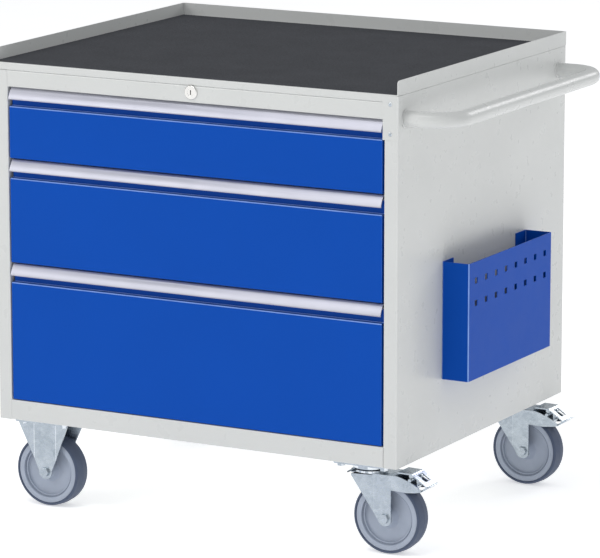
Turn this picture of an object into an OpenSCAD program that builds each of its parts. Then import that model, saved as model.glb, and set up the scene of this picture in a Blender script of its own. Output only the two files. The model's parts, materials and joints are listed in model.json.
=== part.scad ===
// Mobile drawer cabinet with a rubber-topped tray, push handle, side pocket and four castors.
// X runs along the front, Y to the back, Z up. The origin is on the floor, under the middle.

/* [Cabinet] */
// Width of the steel body
body_w = 770; // [640:5:930]
// Depth of the steel body, front frame to back
body_d = 640; // [530:5:770]
// Thickness of the body's sheet steel
sheet = 1.5; // [1:0.25:2]
// Width of each front stile
stile_w = 25; // [21:0.5:30]
// Height of the rail over the drawers
top_rail_h = 40; // [38:0.5:48]
// Height of the rail under the drawers
base_rail_h = 35; // [29:0.5:42]
// Depth of the inward flanges
flange_w = 20; // [17:0.5:24]

/* [Worktop] */
// Height of the raised edge on three sides
rim_h = 25; // [20:0.5:30]
// Height of the folded front lip
lip_h = 11.5; // [10:0.5:12.5]
// Thickness of the rubber mat
mat_t = 3; // [2:0.5:5]
// Space left round the mat
mat_gap = 1; // [0.5:0.5:3]

/* [Drawers] */
// Height of the top drawer's place in the front
front_1 = 124; // [104:1:150]
// Height of the middle drawer's place in the front
front_2 = 181; // [150:1:218]
// Height of the bottom drawer's place in the front
front_3 = 240; // [200:1:288]
// Gap between neighbouring fronts
front_gap = 2.5; // [2:0.5:4]
// Height of the zone with the grip strip and its recess
grip_zone = 33; // [30:0.5:40]
// Gap between a front and the stiles
side_gap = 3.5; // [2.5:0.5:5]
// Depth of a front and of the recess behind its grip
recess_d = 11; // [10:0.5:12]
// How far the grip's lower edge stands out
grip_out = 5; // [4:0.5:6]
// Height of the grip strip
grip_h = 20; // [18:0.5:21]
// Sheet thickness of the drawers
drawer_t = 1.2; // [1:0.1:1.5]

/* [Slides] */
// Thickness of a telescopic slide
slide_t = 12.7; // [12:0.1:15]
// Height of a slide's outer member
slide_h = 45; // [38:0.5:52]
// Running clearance between slide members
slide_gap = 0.4; // [0.3:0.05:0.6]

/* [Lock] */
// Diameter of the lock's face ring
lock_ring_d = 24; // [20:0.5:26]
// Diameter of the lock barrel
lock_barrel_d = 17; // [16:0.5:17]
// Height of the front lip above the lock's axis
lock_drop = 11; // [10.5:0.25:12]
// Radius from the lock's axis to its crank pin
crank_r = 10; // [9:0.25:11]

/* [Handle] */
// Outer diameter of the handle tube
tube_d = 27; // [22:0.5:32]
// Wall of the handle tube
tube_wall = 2; // [1.5:0.25:3]
// Distance from the side panel to the tube's middle
handle_reach = 82; // [68:1:98]
// Bend radius at the tube's middle
handle_bend = 52; // [43:1:62]
// Height of the tube's middle below the body's top
handle_drop = 40; // [33:1:48]
// Distance from the front and back to the tube's ends
handle_inset = 28; // [23:1:34]

/* [Side pocket] */
// Length of the pocket
pocket_l = 320; // [266:1:384]
// Height of the pocket
pocket_h = 200; // [166:1:240]
// Depth of the pocket
pocket_d = 50; // [41:1:60]
// Height of the pocket's base above the body's base
pocket_z = 120; // [100:1:144]
// Pitch of the square holes
hole_pitch = 38; // [32:0.5:40]
// Side of a square hole
hole_w = 10; // [8:0.5:12]
// Number of holes in a row
hole_count = 8; // [4:1:8]

/* [Castors] */
// Height of a castor, floor to plate top
castor_h = 155; // [150:1:186]
// Diameter of a wheel
wheel_d = 125; // [104:1:130]
// Width of a tyre
tyre_w = 36; // [30:1:38]
// Radial thickness of a tyre
tyre_t = 6; // [5:0.5:8]
// Length of a castor's plate
plate_l = 105; // [100:1:115]
// Width of a castor's plate
plate_w = 85; // [78:1:92]
// Bolt spacing along a plate
bolt_l = 80; // [76:1:84]
// Bolt spacing across a plate
bolt_w = 60; // [56:1:62]
// Diameter of the plate bolts
bolt_d = 8; // [6:0.5:10]
// Diameter of a wheel's axle bolt
axle_d = 8; // [8:0.5:10]
// Distance of a swivel castor's axle behind its swivel axis
trail = 38; // [34:1:42]
// Distance of the castors from the front
castor_front = 48; // [46:1:60]
// Distance of the castors from the back
castor_back = 64; // [56:1:78]
// Distance of the fixed castors from the left stile
fixed_in = 51; // [45:1:62]
// Distance of the swivel axes from the right stile
swivel_in = 47; // [41:1:57]

/* [Hidden] */
$fn = 48;
FIT = 0.3;       // clearance between pieces that pass each other
RUNNING = 0.05;  // radial clearance of a shaft in its bore
BEND = 2.5;      // outer radius of a sheet's bend
BENDS = 5;       // steps in a sheet's bend
SCREW_HEAD = 2;  // height of a screw's head at the back

GREY = [0.84, 0.85, 0.84];
BLUE = [0.13, 0.33, 0.70];
ALUMINIUM = [0.75, 0.76, 0.80];
ZINC = [0.70, 0.74, 0.78];
STEEL = [0.55, 0.56, 0.58];
TRAY_STEEL = [0.80, 0.81, 0.81];

drawer_names = ["top", "middle", "bottom"];
fronts = [front_1, front_2, front_3];
ends = ["front", "rear"];

opening_h = front_1 + front_2 + front_3;
body_h = base_rail_h + opening_h + top_rail_h;
tube_r = tube_d / 2;
handle_out = handle_reach + tube_r;

// Faces of the body: left, right, front, back, base and top
x_l = -(body_w + handle_out) / 2;
x_r = x_l + body_w;
y_f = -(body_d + SCREW_HEAD - grip_out) / 2;
y_b = y_f + body_d;
z_0 = castor_h;
z_t = z_0 + body_h;
z_lip = z_t - lip_h;
z_open = z_0 + base_rail_h + opening_h;

// Bottom of each drawer's place, counted from the top drawer down
place_z = [z_open - front_1, z_open - front_1 - front_2, z_0 + base_rail_h];

// Slides, posts and trays, from the opening's side inwards
slide_in = 0.5;
slide_x = stile_w + slide_in;
tray_x = slide_x + slide_t;
back_wall = y_b - 2 * sheet;
slide_y = y_f + 30;
slide_len = back_wall - 12 - slide_y;
tray_y = y_f + recess_d;
tray_d = back_wall - 8 - tray_y;
slide_sheet = 1.2;
slide_rise = 30;         // slide's middle above the tray's base
tray_lift = 8;           // tray's base above its place
tray_drop = 22;          // tray's rim below its place's top
tray_hem = 8;
corner_w = 3;            // width of a body corner that runs up beside the front lip

// Lock
lock_x = (x_l + x_r) / 2;
lock_z = z_lip - lock_drop;
plug_d = lock_barrel_d - 5;
barrel_len = 24;
crank_pin_d = 5;
crank_t = 2.5;
lock_travel = crank_r * sqrt(2);
bar_y = y_f + 24;
bar_t = 3;
link_y = bar_y + bar_t + 0.5;
link_t = 2;
link_pin_x = x_l + 16;
bar_x = x_l + 8;
bar_w = 13;
tab_h = 6;
tab_rise = slide_rise + slide_h / 2 + 2;   // lock tab above the tray's base
catch_t = 2;
catch_h = 10;
catch_l = 26;
catch_out = 9;

// Castors
wheel_r = wheel_d / 2;
plate_t = 3.5;
leg_t = 2.5;
leg_in = tyre_w / 2 + 3.5;
leg_out = leg_in + leg_t;
sleeve_d = axle_d + 4;
hub_r = sleeve_d / 2 + 8;
castor_top = castor_h - wheel_r;           // plate's top above the axle
crown_dz = castor_top - 18;                // top of a swivel fork above its axle
eye_r = 13;
panel_w = 40;                              // flat middle of a fixed leg
wing_in = 7;                               // how far its wings fold in
kingpin_d = 12;
fixed_x = x_l + stile_w + fixed_in;
swivel_x = x_r - stile_w - swivel_in;
castor_y = [y_f + castor_front, y_b - castor_back];
pedal_x = 46;
pedal_z = crown_dz - 4.5;
pedal_pin_d = 6;

// ---- sheet metal ----

function unit(v) = v / norm(v);
function turned(v) = [-v.y, v.x];

// Points and outward normals round the corner a-b-c, as [point, normal] pairs
function bend(a, b, c, r) = let(
    u = unit(a - b),
    v = unit(c - b),
    half = acos(u * v) / 2,
    middle = b + unit(u + v) * r / sin(half),
    side = sign(u.x * v.y - u.y * v.x),
    start = b + u * r / tan(half),
    sweep = side * (180 - 2 * half)
) [for (i = [0:BENDS]) let(
    t = sweep * i / BENDS,
    d = (start - middle) / r,
    n = [d.x * cos(t) + d.y * sin(t), d.y * cos(t) - d.x * sin(t)]
) [middle + r * n, n * side]];

// Outline of a sheet of thickness t that follows the middle line pts
function ribbon(pts, t, r) = let(
    last = len(pts) - 1,
    n0 = -turned(unit(pts[1] - pts[0])),
    n1 = -turned(unit(pts[last] - pts[last - 1])),
    line = concat(
        [[pts[0], -n0]],
        [for (i = [1:last - 1]) each bend(pts[i - 1], pts[i], pts[i + 1], r)],
        [[pts[last], -n1]])
) concat(
    [for (p = line) p[0] + p[1] * t / 2],
    [for (i = [len(line) - 1:-1:0]) line[i][0] - line[i][1] * t / 2]);

// Block between two opposite corners
module block(low, high) {
    translate(low) cube(high - low);
}

// Outline in X and Y, raised from z = from to z = to
module upright(from, to) {
    translate([0, 0, from]) linear_extrude(to - from) children();
}

// Outline drawn as X and Z, carried along Y
module along_y(from, to) {
    translate([0, to, 0]) rotate([90, 0, 0]) linear_extrude(to - from) children();
}

// Outline drawn as Y and Z, carried along X
module along_x(from, to) {
    translate([from, 0, 0]) rotate([90, 0, 90]) linear_extrude(to - from) children();
}

// Rod or hole along Y, centred on x and z
module rod_y(x, z, d, from, to) {
    translate([x, to, z]) rotate([90, 0, 0]) cylinder(d = d, h = to - from);
}

module rod_z(x, y, d, from, to) {
    translate([x, y, from]) cylinder(d = d, h = to - from);
}

// Right-hand copy of a piece that stands at the left of the body
module mirrored() {
    translate([x_l + x_r, 0, 0]) mirror([1, 0, 0]) children();
}

// ---- body ----

// Side panel: skin, front stile with its return, back flange, top and base flanges
module side_panel() {
    h = sheet / 2;
    path = [
        [x_l + stile_w - h, y_f + 18],
        [x_l + stile_w - h, y_f + h],
        [x_l + h, y_f + h],
        [x_l + h, y_b - h],
        [x_l + flange_w, y_b - h]
    ];
    groove = 0.6;
    difference() {
        union() {
            upright(z_0, z_t - groove) polygon(ribbon(path, sheet, BEND - h));
            block([x_l + h, y_f + 18, z_t - sheet], [x_l + flange_w, y_b - sheet, z_t]);
            block([x_l + h, y_f + 18 + FIT, z_0 + sheet], [x_l + flange_w, y_b - sheet, z_0 + 2 * sheet]);
        }
        block([x_l + corner_w, y_f - 1, z_lip], [x_l + stile_w + 1, y_f + 18, z_t + 1]);
        for (p = back_screw_places())
            rod_y(p[0], p[1], 4, y_b - sheet - 1, y_b + 1);
    }
}

module side_left() {
    color(GREY) side_panel();
}

module side_right() {
    color(GREY) mirrored() side_panel();
}

module back_panel() {
    color(GREY) difference() {
        block([x_l + BEND, back_wall, z_0 + 2 * sheet], [x_r - BEND, y_b - sheet, z_t - sheet]);
        for (p = back_screw_places())
            rod_y(p[0], p[1], 4, back_wall - 1, y_b);
    }
}

function back_screw_places() = [
    for (x = [x_l + 11, x_r - 11], i = [0:3]) [x, z_0 + 40 + i * (body_h - 80) / 3]
];

// Pan-headed screws through the back flanges
module back_screws() {
    color(ZINC) for (p = back_screw_places()) {
        rod_y(p[0], p[1], 3.9, back_wall - 4, y_b);
        rod_y(p[0], p[1], 8, y_b, y_b + SCREW_HEAD);
    }
}

function castor_places() = [
    for (x = [fixed_x, swivel_x], y = castor_y) [x, y]
];

function bolt_places() = [
    for (c = castor_places(), i = [-1, 1], j = [-1, 1]) [c.x + i * bolt_l / 2, c.y + j * bolt_w / 2]
];

// Base sheet with the rail under the drawers folded up at the front
module base_pan() {
    h = sheet / 2;
    x_0 = x_l + stile_w;
    x_1 = x_r - stile_w;
    rail = [
        [y_f + 22, z_0 + base_rail_h - h],
        [y_f + h, z_0 + base_rail_h - h],
        [y_f + h, z_0 + h],
        [y_b - sheet, z_0 + h]
    ];
    color(GREY) difference() {
        union() {
            along_x(x_0, x_1) polygon(ribbon(rail, sheet, BEND - h));
            block([x_l + sheet, y_f + 18 + FIT, z_0], [x_r - sheet, y_b - sheet, z_0 + sheet]);
        }
        for (p = bolt_places())
            rod_z(p.x, p.y, bolt_d + 0.4, z_0 - 1, z_0 + sheet + 1);
    }
}

// Channel over the drawers; its long lower flange carries the lock link
module top_rail() {
    h = sheet / 2;
    path = [
        [y_f + 20, z_lip - h],
        [y_f + h, z_lip - h],
        [y_f + h, z_open + h],
        [y_f + 36, z_open + h]
    ];
    color(GREY) difference() {
        union() {
            along_x(x_l + stile_w, x_r - stile_w) polygon(ribbon(path, sheet, BEND - h));
            for (x = [x_l + stile_w, x_r - stile_w - sheet])
                block([x, y_f + sheet, z_open], [x + sheet, y_f + 20, z_lip]);
        }
        rod_y(lock_x, lock_z, lock_barrel_d + 0.2, y_f - 1, y_f + 10);
        block([x_l + stile_w - 1, y_f + 23, z_open - 1], [link_pin_x + 32, y_f + 40, z_open + 4]);
    }
}

// Four uprights that carry the slides behind the stiles
module slide_posts() {
    post_w = 30;
    front = bar_y + bar_t + FIT;
    color(ZINC) for (y = [front, castor_y[1] - post_w / 2]) {
        post_half(y, post_w);
        mirrored() post_half(y, post_w);
    }
}

module post_half(y, post_w) {
    h = sheet / 2;
    path = [
        [x_l + sheet, y + h],
        [x_l + slide_x - h, y + h],
        [x_l + slide_x - h, y + post_w - h],
        [x_l + sheet, y + post_w - h]
    ];
    upright(z_0 + 2 * sheet, z_open - 15) polygon(ribbon(path, sheet, BEND - h));
}

// ---- worktop ----

// Rim end as an upright outline: its front top corner is rounded
module rim_side(x) {
    r = 6;
    along_x(x, x + sheet) difference() {
        polygon([[y_f, z_t], [y_b - sheet / 2, z_t], [y_b - sheet / 2, z_t + rim_h], [y_f, z_t + rim_h]]);
        difference() {
            translate([y_f - 1, z_t + rim_h - r]) square([r + 1, r + 1]);
            translate([y_f + r, z_t + rim_h - r]) circle(r);
        }
    }
}

module worktop_tray() {
    h = sheet / 2;
    path = [
        [y_f + 12, z_lip + h],
        [y_f + h, z_lip + h],
        [y_f + h, z_t + h],
        [y_b - h, z_t + h],
        [y_b - h, z_t + rim_h]
    ];
    color(GREY) union() {
        difference() {
            along_x(x_l, x_r) polygon(ribbon(path, sheet, BEND - h));
            for (x = [x_l - 1, x_r - corner_w - FIT])
                block([x, y_f - 1, z_lip - 1], [x + corner_w + FIT + 1, y_f + 20, z_t]);
        }
        rim_side(x_l);
        rim_side(x_r - sheet);
    }
}

module rubber_mat() {
    color([0.22, 0.23, 0.24])
        block([x_l + sheet + mat_gap, y_f + 3, z_t + sheet],
              [x_r - sheet - mat_gap, y_b - sheet - mat_gap - BEND, z_t + sheet + mat_t]);
}

// ---- handle ----

module tube_section() {
    difference() {
        circle(tube_r);
        circle(tube_r - tube_wall);
    }
}

// One end of the handle: a straight leg and its bend, drawn for the front end
module handle_end() {
    leg = handle_reach - handle_bend;
    rotate([90, 0, 90]) linear_extrude(leg) tube_section();
    translate([leg, handle_bend, 0]) rotate([0, 0, -90])
        rotate_extrude(angle = 90) translate([handle_bend, 0]) tube_section();
}

module handle_tube() {
    y_0 = y_f + handle_inset;
    y_1 = y_b - handle_inset;
    z = z_t - handle_drop;
    color(GREY) union() {
        translate([x_r, y_0, z]) handle_end();
        translate([x_r, y_1, z]) mirror([0, 1, 0]) handle_end();
        translate([x_r + handle_reach, y_1 - handle_bend, z]) rotate([90, 0, 0])
            linear_extrude(y_1 - y_0 - 2 * handle_bend) tube_section();
    }
}

bracket_t = 1;
bracket_h = 73;
bracket_w = stile_w + side_gap - 1;

function rivet_heights() = [z_t - 14, z_t - bracket_h + 10];

// Corner plate that stiffens the stile beside the handle's end
module corner_bracket() {
    path = [
        [x_r - bracket_w, y_f - bracket_t / 2],
        [x_r + bracket_t / 2, y_f - bracket_t / 2],
        [x_r + bracket_t / 2, y_f + handle_inset - tube_r - 2]
    ];
    color(GREY) difference() {
        upright(z_t - bracket_h, z_t - 0.3) polygon(ribbon(path, bracket_t, BEND + bracket_t / 2));
        for (z = rivet_heights())
            rod_y(x_r - bracket_w / 2, z, 4, y_f - 5, y_f + 1);
    }
}

module bracket_rivets() {
    color(ZINC) for (z = rivet_heights())
        translate([x_r - bracket_w / 2, y_f - bracket_t, z]) rotate([90, 0, 0]) rotate_extrude()
            polygon([
                [0, -bracket_t], [1.95, -bracket_t], [1.95, 0],
                [3.5, 0], [3.2, 0.7], [2.2, 1.2], [0, 1.4]
            ]);
}

// ---- side pocket ----

pocket_y = y_f + 163;
pocket_top = z_0 + pocket_z + pocket_h;

function pocket_rivet_places() = [
    for (y = [pocket_y + 20, pocket_y + pocket_l - 20], z = [pocket_top - 30, pocket_top - pocket_h + 30])
        [y, z]
];

module side_pocket() {
    h = sheet / 2;
    path = [
        [x_r + h, pocket_y + 40],
        [x_r + h, pocket_y + h],
        [x_r + pocket_d - h, pocket_y + h],
        [x_r + pocket_d - h, pocket_y + pocket_l - h],
        [x_r + h, pocket_y + pocket_l - h],
        [x_r + h, pocket_y + pocket_l - 40]
    ];
    first = pocket_y + pocket_l / 2 - (hole_count - 1) * hole_pitch / 2;
    color(BLUE) difference() {
        union() {
            upright(pocket_top - pocket_h, pocket_top) polygon(ribbon(path, sheet, BEND - h));
            block([x_r + sheet, pocket_y + h, pocket_top - pocket_h],
                  [x_r + pocket_d - h, pocket_y + pocket_l - h, pocket_top - pocket_h + sheet]);
        }
        for (i = [0:hole_count - 1], row = [1, 2]) {
            y = first + i * hole_pitch - hole_w / 2;
            z = pocket_top + 6 - row * hole_pitch - hole_w / 2;
            block([x_r + pocket_d - 5, y, z], [x_r + pocket_d + 1, y + hole_w, z + hole_w]);
        }
        for (p = pocket_rivet_places())
            translate([x_r - 1, p[0], p[1]]) rotate([0, 90, 0]) cylinder(d = 5, h = 5);
    }
}

module pocket_rivets() {
    color(BLUE) for (p = pocket_rivet_places())
        translate([x_r, p[0], p[1]]) rotate([0, 90, 0]) rotate_extrude()
            polygon([
                [0, 0], [2.45, 0], [2.45, sheet],
                [4.5, sheet], [4, sheet + 1], [2.5, sheet + 1.8], [0, sheet + 2]
            ]);
}

// ---- lock ----

// Face ring, barrel and the nut behind the rail
module lock_housing() {
    color(ALUMINIUM) translate([lock_x, y_f, lock_z]) rotate([-90, 0, 0]) difference() {
        rotate_extrude() polygon([
            [0, -2.5], [lock_ring_d / 2 - 1, -2.5], [lock_ring_d / 2, -1.5], [lock_ring_d / 2, 0],
            [lock_barrel_d / 2, 0], [lock_barrel_d / 2, sheet], [lock_barrel_d / 2 + 0.5, sheet],
            [lock_barrel_d / 2 + 0.5, sheet + 3], [lock_barrel_d / 2, sheet + 3],
            [lock_barrel_d / 2, barrel_len], [0, barrel_len]
        ]);
        translate([0, 0, -3]) cylinder(d = plug_d, h = barrel_len + 4);
    }
}

// Plug with a key slot, a crank disc and a crank pin that points down and to the left
module lock_plug() {
    d = plug_d - 2 * RUNNING;
    back = barrel_len + FIT;
    color(STEEL) translate([lock_x, y_f, lock_z]) difference() {
        union() {
            rod_y(0, 0, d, -2.2, back);
            rod_y(0, 0, 2 * crank_r - 5, back, back + crank_t);
            rotate([0, 45, 0]) along_y(back, back + crank_t)
                polygon([[-4, 0], [-4, -crank_r - 4], [4, -crank_r - 4], [4, 0]]);
            rotate([0, 45, 0]) rod_y(0, -crank_r, crank_pin_d, back, link_y - y_f + link_t + 1);
        }
        block([-0.9, -3, -4], [0.9, 6, 4]);
    }
}

// Flat link behind the rail: the crank pin moves it, and its own pin lifts the lock bar
module lock_link() {
    pin_z = lock_z - crank_r / sqrt(2);
    low = z_open + sheet + FIT;
    high = lock_z - 2;
    slot_w = crank_pin_d + 1;
    crank_x = lock_x - crank_r / sqrt(2);
    color(ZINC) difference() {
        union() {
            block([link_pin_x - 6, link_y, low], [crank_x + 14, link_y + link_t, high]);
            rod_y(link_pin_x, pin_z, crank_pin_d, bar_y - 1, link_y + link_t);
        }
        block(
            [crank_x - slot_w / 2, link_y - 1, lock_z - crank_r - 4],
            [crank_x + slot_w / 2, link_y + 4, high + 1]
        );
    }
}

function tab_z(i) = place_z[i] + tray_lift + tab_rise;

// Upright bar with a slanted slot at its head and one tab for each drawer
module lock_bar() {
    pin_z = lock_z - crank_r / sqrt(2);
    head_low = pin_z - lock_travel - 8;
    head = [
        [x_l + 4, head_low],
        [link_pin_x + lock_travel + 8, head_low],
        [link_pin_x + lock_travel + 8, pin_z + 4],
        [x_l + 4, pin_z + 7]
    ];
    slot_w = crank_pin_d + 0.8;
    color(ZINC) difference() {
        union() {
            block([bar_x, bar_y, z_0 + 2 * sheet + FIT], [bar_x + bar_w, bar_y + bar_t, head_low + 1]);
            along_y(bar_y, bar_y + bar_t) polygon(head);
            for (i = [0:2])
                block(
                    [bar_x + bar_w - 1, bar_y, tab_z(i)],
                    [x_l + tray_x - 2, bar_y + bar_t, tab_z(i) + tab_h]
                );
        }
        translate([link_pin_x, 0, pin_z]) rotate([0, 45, 0]) {
            rod_y(0, 0, slot_w, bar_y - 1, bar_y + bar_t + 1);
            rod_y(lock_travel * sqrt(2), 0, slot_w, bar_y - 1, bar_y + bar_t + 1);
            block([0, bar_y - 1, -slot_w / 2], [lock_travel * sqrt(2), bar_y + bar_t + 1, slot_w / 2]);
        }
    }
}

// ---- drawers ----

function tray_base(i) = place_z[i] + tray_lift;
function tray_top(i) = place_z[i] + fronts[i] - tray_drop;

// Floor and hemmed sides of a drawer's tray, folded from one sheet
module drawer_tray(i) {
    h = drawer_t / 2;
    x_0 = x_l + tray_x;
    x_1 = x_r - tray_x;
    low = tray_base(i);
    high = tray_top(i);
    section = [
        [x_0 + tray_hem, high - h],
        [x_0 + h, high - h],
        [x_0 + h, low + h],
        [x_1 - h, low + h],
        [x_1 - h, high - h],
        [x_1 - tray_hem, high - h]
    ];
    color(TRAY_STEEL) along_y(tray_y, tray_y + tray_d) polygon(ribbon(section, drawer_t, BEND - h));
}

// Front and back walls of a drawer's tray, set between its sides and under their hems
module drawer_walls(i) {
    x_0 = x_l + tray_x + drawer_t;
    x_1 = x_r - tray_x - drawer_t;
    low = tray_base(i) + drawer_t;
    high = tray_top(i) - drawer_t;
    corner = BEND - drawer_t;
    color(TRAY_STEEL) for (y = [tray_y, tray_y + tray_d - drawer_t])
        along_y(y, y + drawer_t) polygon([
            [x_0, low + corner], [x_0 + corner, low], [x_1 - corner, low], [x_1, low + corner],
            [x_1, high], [x_0, high]
        ]);
}

// Bent clip on the tray's left side, which a lifted lock tab stands in front of
module drawer_catch(i) {
    h = catch_t / 2;
    x_0 = x_l + tray_x;
    y = bar_y + bar_t + FIT + h;
    low = tab_z(i) + tab_h + 3;
    color(ZINC) upright(low, low + catch_h)
        polygon(ribbon([[x_0 - catch_out, y], [x_0 - h, y], [x_0 - h, y + catch_l]], catch_t, catch_t));
}

// Front pan: face, return under the grip, recess wall and side returns
module drawer_front(i) {
    h = drawer_t / 2;
    x_0 = x_l + stile_w + side_gap;
    x_1 = x_r - stile_w - side_gap;
    low = place_z[i] + front_gap / 2;
    high = place_z[i] + fronts[i] - front_gap / 2;
    face = place_z[i] + fronts[i] - grip_zone;
    section = [
        [y_f + recess_d, low + h],
        [y_f + h, low + h],
        [y_f + h, face - h],
        [y_f + recess_d - h, face - h],
        [y_f + recess_d - h, high]
    ];
    color(BLUE) union() {
        along_x(x_0, x_1) polygon(ribbon(section, drawer_t, BEND - h));
        for (x = [x_0, x_1 - drawer_t])
            block([x, y_f + h, low + h], [x + drawer_t, y_f + recess_d, face - BEND]);
    }
}

// Extruded grip strip: a leaning bowed face, a rolled lower edge and a leg on the recess wall
module drawer_grip(i) {
    wall = 2;
    x_0 = x_l + stile_w + side_gap + FIT;
    x_1 = x_r - stile_w - side_gap - FIT;
    back = y_f + recess_d - drawer_t;
    top = place_z[i] + fronts[i] - front_gap / 2;
    low = top - grip_h;
    face_top = y_f + 6;
    face_low = y_f - grip_out;
    bow = 1.2;
    steps = 8;
    outer = [for (k = [0:steps]) let(t = k / steps)
        [face_top + (face_low + 1 - face_top) * t - bow * sin(180 * t), top - 0.6 + (low + 1.5 - top) * t]];
    nose = [for (a = [190:20:330]) [face_low + 1.5 + 1.5 * cos(a), low + 1.5 + 1.5 * sin(a)]];
    inner = [for (k = [steps:-1:1]) let(t = k / steps) [
        face_top + wall + (face_low + 1 - face_top) * t - bow * sin(180 * t),
        top - wall + (low + 2.5 - top) * t
    ]];
    leg = [
        [back - wall, top - wall],
        [back - wall, top - 9],
        [back, top - 9],
        [back, top],
        [face_top + 1, top]
    ];
    color(ALUMINIUM) along_x(x_0, x_1) polygon(concat(outer, nose, inner, leg));
}

// Channel section of a slide member: web at x = web, flanges reaching to x = tip
module slide_member(i, web, tip, half_h, from, to) {
    h = slide_sheet / 2;
    z = tray_base(i) + slide_rise;
    s = sign(tip - web);
    path = [
        [tip, z + half_h - h],
        [web + s * h, z + half_h - h],
        [web + s * h, z - half_h + h],
        [tip, z - half_h + h]
    ];
    along_y(from, to) polygon(ribbon(path, slide_sheet, 1.5));
}

module slide_pair() {
    color(ZINC) {
        children();
        mirrored() children();
    }
}

// Outer members of all the slides, fixed to the posts
module slide_outers() {
    x = x_l + slide_x;
    for (i = [0:2])
        slide_pair() slide_member(i, x, x + slide_t - 1, slide_h / 2, slide_y, slide_y + slide_len);
}

module drawer_slide_middle(i) {
    x = x_l + slide_x + slide_sheet + slide_gap;
    half_h = slide_h / 2 - slide_sheet - slide_gap;
    slide_pair() slide_member(i, x, x + slide_t - 4, half_h, slide_y + 2, slide_y + slide_len - 2);
}

module drawer_slide_inner(i) {
    x = x_l + slide_x + slide_t;
    half_h = slide_h / 2 - 2 * (slide_sheet + slide_gap);
    slide_pair() slide_member(i, x, x - slide_t + 5, half_h, slide_y, slide_y + slide_len - 4);
}

// ---- castors: drawn with the axle at the origin ----

module at_fixed(e) {
    translate([fixed_x, castor_y[e], wheel_r]) children();
}

module at_swivel(e) {
    translate([swivel_x + trail, castor_y[e], wheel_r]) children();
}

// Plastic centre with a deep ring and a raised outer ring
module wheel_rim() {
    bore = sleeve_d / 2 + RUNNING;
    hub = leg_in - 0.3;
    ring = wheel_r - tyre_t;
    half_w = tyre_w / 2 - 1.5;
    side = [
        [bore, hub],
        [hub_r, hub],
        [hub_r + 1, hub - 5],
        [hub_r + 5, half_w - 5],
        [ring - 14, half_w - 4],
        [ring - 12, half_w - 7],
        [ring - 10.5, half_w - 1],
        [ring - 9, half_w],
        [ring - 2, half_w],
        [ring, half_w - 1]
    ];
    color([0.60, 0.62, 0.72]) rotate([90, 0, 0]) rotate_extrude($fn = 96)
        polygon(concat(side, [for (k = [len(side) - 1:-1:0]) [side[k][0], -side[k][1]]]));
}

// Crowned tread between two rounded shoulders
module wheel_tyre() {
    ring = wheel_r - tyre_t;
    half_w = tyre_w / 2;
    shoulder = 4;
    crown = 1.2;
    arc = [for (a = [0:18:90]) [
        wheel_r - crown - shoulder + shoulder * cos(a), half_w - shoulder + shoulder * sin(a)]];
    tread = [for (k = [0:6]) let(y = (half_w - shoulder) * (2 * k / 6 - 1))
        [wheel_r - crown * pow(y / (half_w - shoulder), 2), y]];
    lower = [for (k = [len(arc) - 1:-1:1]) [arc[k][0], -arc[k][1]]];
    upper = [for (k = [1:len(arc) - 1]) arc[k]];
    color([0.31, 0.36, 0.44]) rotate([90, 0, 0]) rotate_extrude($fn = 96)
        polygon(concat([[ring, -half_w]], lower, tread, upper, [[ring, half_w]]));
}

// Bolt, its nut and the sleeve that the wheel runs on
module wheel_axle() {
    color(ZINC) union() {
        rod_y(0, 0, axle_d, -leg_out - 1, leg_out + 2);
        rod_y(0, 0, sleeve_d, -leg_in, leg_in);
        translate([0, -leg_out, 0]) rotate([90, 0, 0]) cylinder(d = axle_d * 1.6, h = 5, $fn = 6);
        translate([0, leg_out + 6, 0]) rotate([90, 0, 0]) cylinder(d = axle_d * 1.6, h = 6, $fn = 6);
    }
}

module fixed_axles() {
    for (e = [0, 1])
        at_fixed(e) wheel_axle();
}

module plate_holes(dx, from, to) {
    for (i = [-1, 1], j = [-1, 1])
        rod_z(dx + i * bolt_l / 2, j * bolt_w / 2, bolt_d + 0.4, from, to);
}

module plate(dx, from, to) {
    difference() {
        block([dx - plate_l / 2, -plate_w / 2, from], [dx + plate_l / 2, plate_w / 2, to]);
        for (i = [-1, 1], j = [-1, 1]) translate([dx + i * plate_l / 2, j * plate_w / 2, from - 1])
            rotate([0, 0, 45]) translate([-4, -4, 0]) cube([8, 8, to - from + 2]);
    }
}

// Front view of a fixed leg: as long as the plate on top, narrowing to its flat panel and the axle's eye
module fixed_outline(top) {
    half_l = plate_l / 2 - 4;
    knee = 1.4 * eye_r;
    polygon([
        [-half_l, top], [-half_l, top - 5], [-panel_w / 2, knee], [-eye_r, 2],
        [eye_r, 2], [panel_w / 2, knee], [half_l, top - 5], [half_l, top]
    ]);
    circle(eye_r);
}

module fixed_bracket() {
    top = castor_top - plate_t;
    half_l = plate_l / 2;
    face_y = -leg_out + leg_t / 2;
    leg = [
        [-half_l, face_y + wing_in], [-panel_w / 2 - 2, face_y],
        [panel_w / 2 + 2, face_y], [half_l, face_y + wing_in]
    ];
    color(ZINC) difference() {
        union() {
            plate(0, top, castor_top);
            intersection() {
                along_y(-leg_out - 1, leg_out + 1) fixed_outline(top + 0.5);
                upright(-eye_r - 1, top + 1) {
                    polygon(ribbon(leg, leg_t, BEND + leg_t));
                    mirror([0, 1]) polygon(ribbon(leg, leg_t, BEND + leg_t));
                }
            }
        }
        plate_holes(0, top - 1, castor_top + 1);
        rod_y(0, 0, axle_d + 2 * RUNNING, -leg_out - 1, leg_out + 1);
    }
}

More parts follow.
